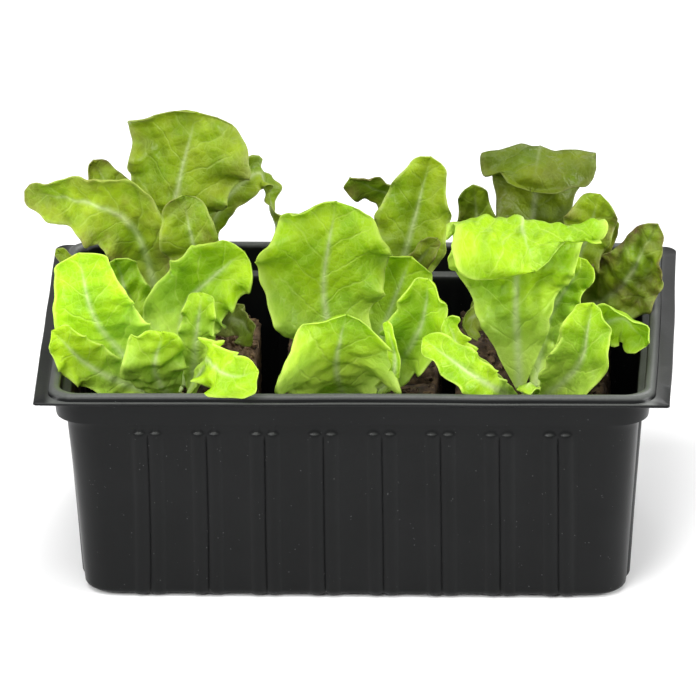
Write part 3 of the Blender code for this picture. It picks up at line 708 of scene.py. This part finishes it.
def blade_grid(leaf, base, seed):
    """Points and values of a blade on a grid of rows along it and columns across it."""
    spine = leaf.midrib(base)
    dense = catmull(spine, np.linspace(0, 1, SPINE_POINTS))
    run = np.concatenate([[0], np.cumsum(np.linalg.norm(np.diff(dense, axis=0), axis=1))])
    length = run[-1]
    rows = max(int(length / STEP_MM), 12)
    shares = np.interp(np.linspace(0, length, rows), run, np.linspace(0, 1, SPINE_POINTS))
    centre = catmull(spine, shares)
    ahead = np.gradient(centre, axis=0)
    ahead /= np.linalg.norm(ahead, axis=1, keepdims=True)
    side = np.cross(ahead, leaf.facing)
    side[0] /= np.linalg.norm(side[0])
    for row in range(1, rows):
        side[row] = side[row - 1] - ahead[row] * (side[row - 1] @ ahead[row])
        side[row] /= np.linalg.norm(side[row])
    upper = np.cross(side, ahead)
    widths = leaf.half_width(shares) * leaf.spread
    round_from = length - widths[-1] * 0.75
    past = ((np.linspace(0, length, rows) - round_from) / (length - round_from)).clip(0, 1)
    widths = widths * np.sqrt(np.clip(1 - past**2.4, 0, 1)).clip(0.03)
    columns = max(int(widths.max() * 2 / STEP_MM), 10) // 2 * 2 + 1
    u = np.linspace(-1, 1, columns)[None, :]
    s = np.linspace(0, length, rows)[:, None]
    width = widths[:, None]
    bare = smooth(0.06, 0.34, s / length)
    rng = np.random.default_rng(seed)
    phase = rng.uniform(0, 6.28, 4)
    wobble = np.where(u < 0, phase[0], phase[1]) + 0.9 * np.sin(s / leaf.wave * 2.3 + phase[2])
    beat = 2 * np.pi * s / leaf.wave + wobble
    edge = np.abs(u) * np.ones_like(s)
    tip_edge = smooth(0.80, 1.0, s / length) * 0.9
    margin = np.maximum(edge, tip_edge * np.sqrt(edge.clip(0.2)))
    size = np.minimum(width / 7.0, 1.15)
    frill = np.sin(beat) * smooth(0.35, 1.0, edge) ** 1.5
    frill = frill + 0.16 * np.sin(2.63 * beat + phase[3]) * smooth(0.6, 1.0, edge) ** 1.5
    tooth = np.sin(s / 1.05 + 1.5 * np.sin(s / 2.9 + phase[0])) + 0.7 * np.sin(s / 0.62 + phase[1])
    scallop = 0.055 * np.sin(beat + 1.1) + 0.10 * np.sin(0.37 * beat + phase[1])
    reach = 1 + bare * smooth(0.5, 1, edge) * (scallop + leaf.teeth * 0.42 * tooth / width.clip(2))
    out = u * width * reach
    lift = leaf.cup * width * u**2 + leaf.ruffle * size * bare * frill
    points = centre[:, None, :] + side[:, None, :] * out[..., None] + upper[:, None, :] * lift[..., None]
    sag = waves(points, seed + 7, 24.0) * 0.75 * bare * size
    sag = sag + waves(points, seed + 8, 5.2) * leaf.pucker * bare * 0.7
    pleat = np.abs(np.sin(np.pi * (s - VEIN_SLANT * np.abs(out)) / VEIN_PITCH))
    quilt = pleat * leaf.pucker * 0.8 * bare * smooth(0.03, 0.2, edge)
    points = points + upper[:, None, :] * (sag + quilt - leaf.pucker * 0.5 * bare)[..., None]
    rib = np.exp(-((out / (0.25 + 0.95 * (1 - s / length))) ** 2))
    rib = rib * (1 - smooth(0.72, 1.0, s / length))
    values = {"across": out, "along": s + 0 * u, "edge": margin, "rib": rib, "share": s / length + 0 * u}
    return points, values


def make_leaf(place, leaf, angle, root, seed, surface):
    x, y = LEAF_RING_RADIUS * math.cos(angle), LEAF_RING_RADIUS * math.sin(angle)
    grid, values = blade_grid(leaf, np.array([x, y, LEAF_RING_HEIGHT]), seed)
    grid = grid + root
    rows, columns = grid.shape[:2]
    along = np.gradient(grid, axis=0)
    across = np.gradient(grid, axis=1)
    normal = np.cross(across, along)
    normal /= np.linalg.norm(normal, axis=2, keepdims=True).clip(1e-9)
    share = values["share"]
    thick = THICKNESS * (1 - 0.45 * values["edge"] ** 3) / 2
    stalk = 1.05 * (1 - share) ** 1.4 + 0.12
    under = thick + values["rib"] * stalk * 1.25
    over = thick + values["rib"] * stalk * 0.28 - 0.10 * values["rib"]
    top, bottom = grid + normal * over[..., None], grid - normal * under[..., None]
    points = np.vstack([top.reshape(-1, 3), bottom.reshape(-1, 3)]) * MM
    index = np.arange(rows * columns).reshape(rows, columns)
    a, b, c, d = index[:-1, :-1], index[:-1, 1:], index[1:, 1:], index[1:, :-1]
    upper_faces = np.stack([a, b, c, d], axis=-1).reshape(-1, 4)
    lower_faces = np.stack([d, c, b, a], axis=-1).reshape(-1, 4) + rows * columns
    border = np.concatenate([index[0, :-1], index[:-1, -1], index[-1, :0:-1], index[:0:-1, 0]])
    after = np.roll(border, -1)
    rim = np.column_stack([after, border, border + rows * columns, after + rows * columns])
    faces = np.vstack([upper_faces, lower_faces, rim]).tolist()
    blade = mesh_object(f"{leaf.name}_leaf_{place}", points, faces, surface)
    for name in ("across", "along", "edge", "rib"):
        add_values(blade, name, np.tile(values[name].ravel(), 2))
    spots = np.tile(grid.reshape(-1, 3), (2, 1))
    edges = np.tile(values["edge"].ravel(), 2)
    flush = 0.45 + 0.85 * edges**2 + 0.25 * waves(spots, seed + 20, 11.0)
    add_values(blade, "bronze", np.clip(leaf.bronze * flush, 0, 1))
    # Painted light or shade: one brightness factor for the whole leaf.
    add_values(blade, "light", np.full(len(points), leaf.light))
    add_values(blade, "leaf", np.full(len(points), seed * 1.37 % 50))
    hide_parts(f"leaf_{place}_{leaf.name}")
    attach(blade, f"plug_{place}")


def make_crown(place, seed, surface):
    """A short lumpy stem with the scars of old leaves, buried in the soil at its foot."""
    low, high = (np.array(corner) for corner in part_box(f"crown_{place}"))
    middle = (low + high) / 2
    levels, sides = 22, 28
    height = np.linspace(0, 1, levels)[:, None]
    turn = np.linspace(0, 2 * np.pi, sides, endpoint=False)[None, :]
    radius = 0.0026 - 0.0009 * height + 0.00035 * np.sin(height * 17)
    radius = radius + 0.00025 * np.sin(5 * turn + seed) * height
    radius = radius * np.sqrt(1 - (height * 0.985) ** 9)
    x = middle[0] + radius * np.cos(turn)
    y = middle[1] + radius * np.sin(turn)
    z = low[2] - 0.0004 + (high[2] - low[2] + 0.0006) * height + 0 * turn
    points = np.stack([x, y, z], axis=-1).reshape(-1, 3)
    index = np.arange(levels * sides).reshape(levels, sides)
    following = np.roll(index, -1, axis=1)
    sheet = np.stack([index[:-1], following[:-1], following[1:], index[1:]], axis=-1)
    faces = sheet.reshape(-1, 4).tolist()
    faces += [index[0, ::-1].tolist(), index[-1].tolist()]
    crown = mesh_object(f"stem_{place}", points, faces, surface)
    add_values(crown, "low", np.repeat(1 - smooth(0.0, 0.45, height[:, 0]), sides))
    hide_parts(f"crown_{place}")
    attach(crown, f"plug_{place}")


def make_plants():
    surfaces = {
        "front": leaf_material("green_lettuce_leaf", (0.26, 0.50, 0.006, 1), (0.45, 0.68, 0.010, 1),
                               (0.62, 0.80, 0.14, 1), (0.26, 0.13, 0.05, 1)),
        "back": leaf_material("bronze_lettuce_leaf", (0.21, 0.37, 0.006, 1), (0.38, 0.52, 0.010, 1),
                              (0.46, 0.58, 0.13, 1), (0.16, 0.085, 0.045, 1)),
    }
    crown_surface = crown_material()
    soil_surface = soil_material()
    tans = {"front_left": 0.45, "back_left": 0.75, "front_centre": 0.12, "back_centre": 0.2,
            "front_right": 0.1, "back_right": 0.3}
    for number, (place, leaves) in enumerate(PLANTS.items()):
        low, high = (np.array(corner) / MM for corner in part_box(f"soil_plug_{place}"))
        root = np.array([(low[0] + high[0]) / 2, (low[1] + high[1]) / 2, high[2]])
        make_soil(place, 100 + number * 10, soil_surface, tans[place])
        make_crown(place, number, crown_surface)
        angles = starting_angles(leaves)
        row = place.split("_")[0]
        for count, leaf in enumerate(leaves):
            seed = 1000 + number * 100 + count * 7
            make_leaf(place, leaf, angles[leaf.name], root, seed, surfaces[row])


# ---------------------------------------------------------------- stage, light and camera


def make_stage():
    n = Nodes("pale_floor")
    where = n.place()
    grey = n.mix(n.noise(where, 6, 2), (0.86, 0.86, 0.86, 1), (0.88, 0.88, 0.88, 1))
    n.feed(n.shader.inputs["Base Color"], grey)
    n.shader.inputs["Roughness"].default_value = 0.9
    n.shader.inputs["Specular IOR Level"].default_value = 0.1
    reach = 6.0
    corners = [(-reach, -reach, 0), (reach, -reach, 0), (reach, reach, 0), (-reach, reach, 0)]
    floor = mesh_object("floor", corners, [[0, 1, 2, 3]], n.material)


def area_light(name, place, target, size, power):
    data = bpy.data.lights.new(name, "AREA")
    data.shape = "DISK"
    data.size = size
    data.energy = power
    light = bpy.data.objects.new(name, data)
    light.location = place
    light.rotation_euler = (Vector(target) - Vector(place)).to_track_quat("-Z", "Y").to_euler()
    bpy.context.scene.collection.objects.link(light)


def make_lights():
    """A dim even room with a white backdrop, and five softboxes; the side ones graze the walls."""
    world = bpy.data.worlds.new("studio")
    world.use_nodes = True
    tree = world.node_tree
    room = tree.nodes["Background"]
    room.inputs[0].default_value = (1, 1, 1, 1)
    room.inputs[1].default_value = 0.30
    backdrop = tree.nodes.new("ShaderNodeBackground")
    backdrop.inputs[0].default_value = (1, 1, 1, 1)
    backdrop.inputs[1].default_value = 1.0
    seen = tree.nodes.new("ShaderNodeLightPath")
    either = tree.nodes.new("ShaderNodeMixShader")
    tree.links.new(seen.outputs["Is Camera Ray"], either.inputs[0])
    tree.links.new(room.outputs[0], either.inputs[1])
    tree.links.new(backdrop.outputs[0], either.inputs[2])
    tree.links.new(either.outputs[0], tree.nodes["World Output"].inputs[0])
    bpy.context.scene.world = world
    area_light("overhead", (-0.15, -0.30, 1.1), (0, 0, 0.06), 0.75, 9.5)
    area_light("front", (-0.35, -1.1, 0.75), (0, 0, 0.07), 0.6, 9.5)
    area_light("right_side", (1.0, -0.30, 0.35), (0, 0, 0.04), 0.6, 15.0)
    area_light("left_side", (-1.0, -0.30, 0.35), (0, 0, 0.04), 0.6, 8.0)
    area_light("behind", (0.2, 0.9, 0.9), (0, 0, 0.08), 0.6, 6.0)


VIEW_YAW, VIEW_TILT, VIEW_ROLL = math.radians(2.2), math.radians(22.2), math.radians(-0.6)
VIEW_DISTANCE = 3.93
VIEW_SCALE = 4049.0
VIEW_SIZE = 696
SENSOR_MM = 36
AIM = Vector((0, 0, 0.027))
AIM_RIGHT, AIM_DOWN = 0.01652, 0.11494


def make_camera():
    """Turned slightly to the left and looking down; the aim point sits right of and below the middle."""
    ahead = Vector((-math.sin(VIEW_YAW) * math.cos(VIEW_TILT), math.cos(VIEW_YAW) * math.cos(VIEW_TILT),
                    -math.sin(VIEW_TILT)))
    right = ahead.cross(Vector((0, 0, 1))).normalized()
    up = right.cross(ahead)
    c, s = math.cos(VIEW_ROLL), math.sin(VIEW_ROLL)
    right, up = right * c + up * s, up * c - right * s
    width = VIEW_SIZE / VIEW_SCALE
    place = AIM - ahead * VIEW_DISTANCE - right * AIM_RIGHT * width + up * AIM_DOWN * width
    camera = bpy.data.objects.new("camera", bpy.data.cameras.new("camera"))
    camera.matrix_world = Matrix.Translation(place) @ Matrix((right, up, -ahead)).transposed().to_4x4()
    camera.data.sensor_width = SENSOR_MM
    camera.data.lens = SENSOR_MM * VIEW_DISTANCE / width
    camera.data.clip_end = 50
    bpy.context.scene.collection.objects.link(camera)
    bpy.context.scene.camera = camera


make_camera()
make_lights()
make_stage()
make_tray()
make_plants()
bpy.context.scene.view_settings.view_transform = "Standard"
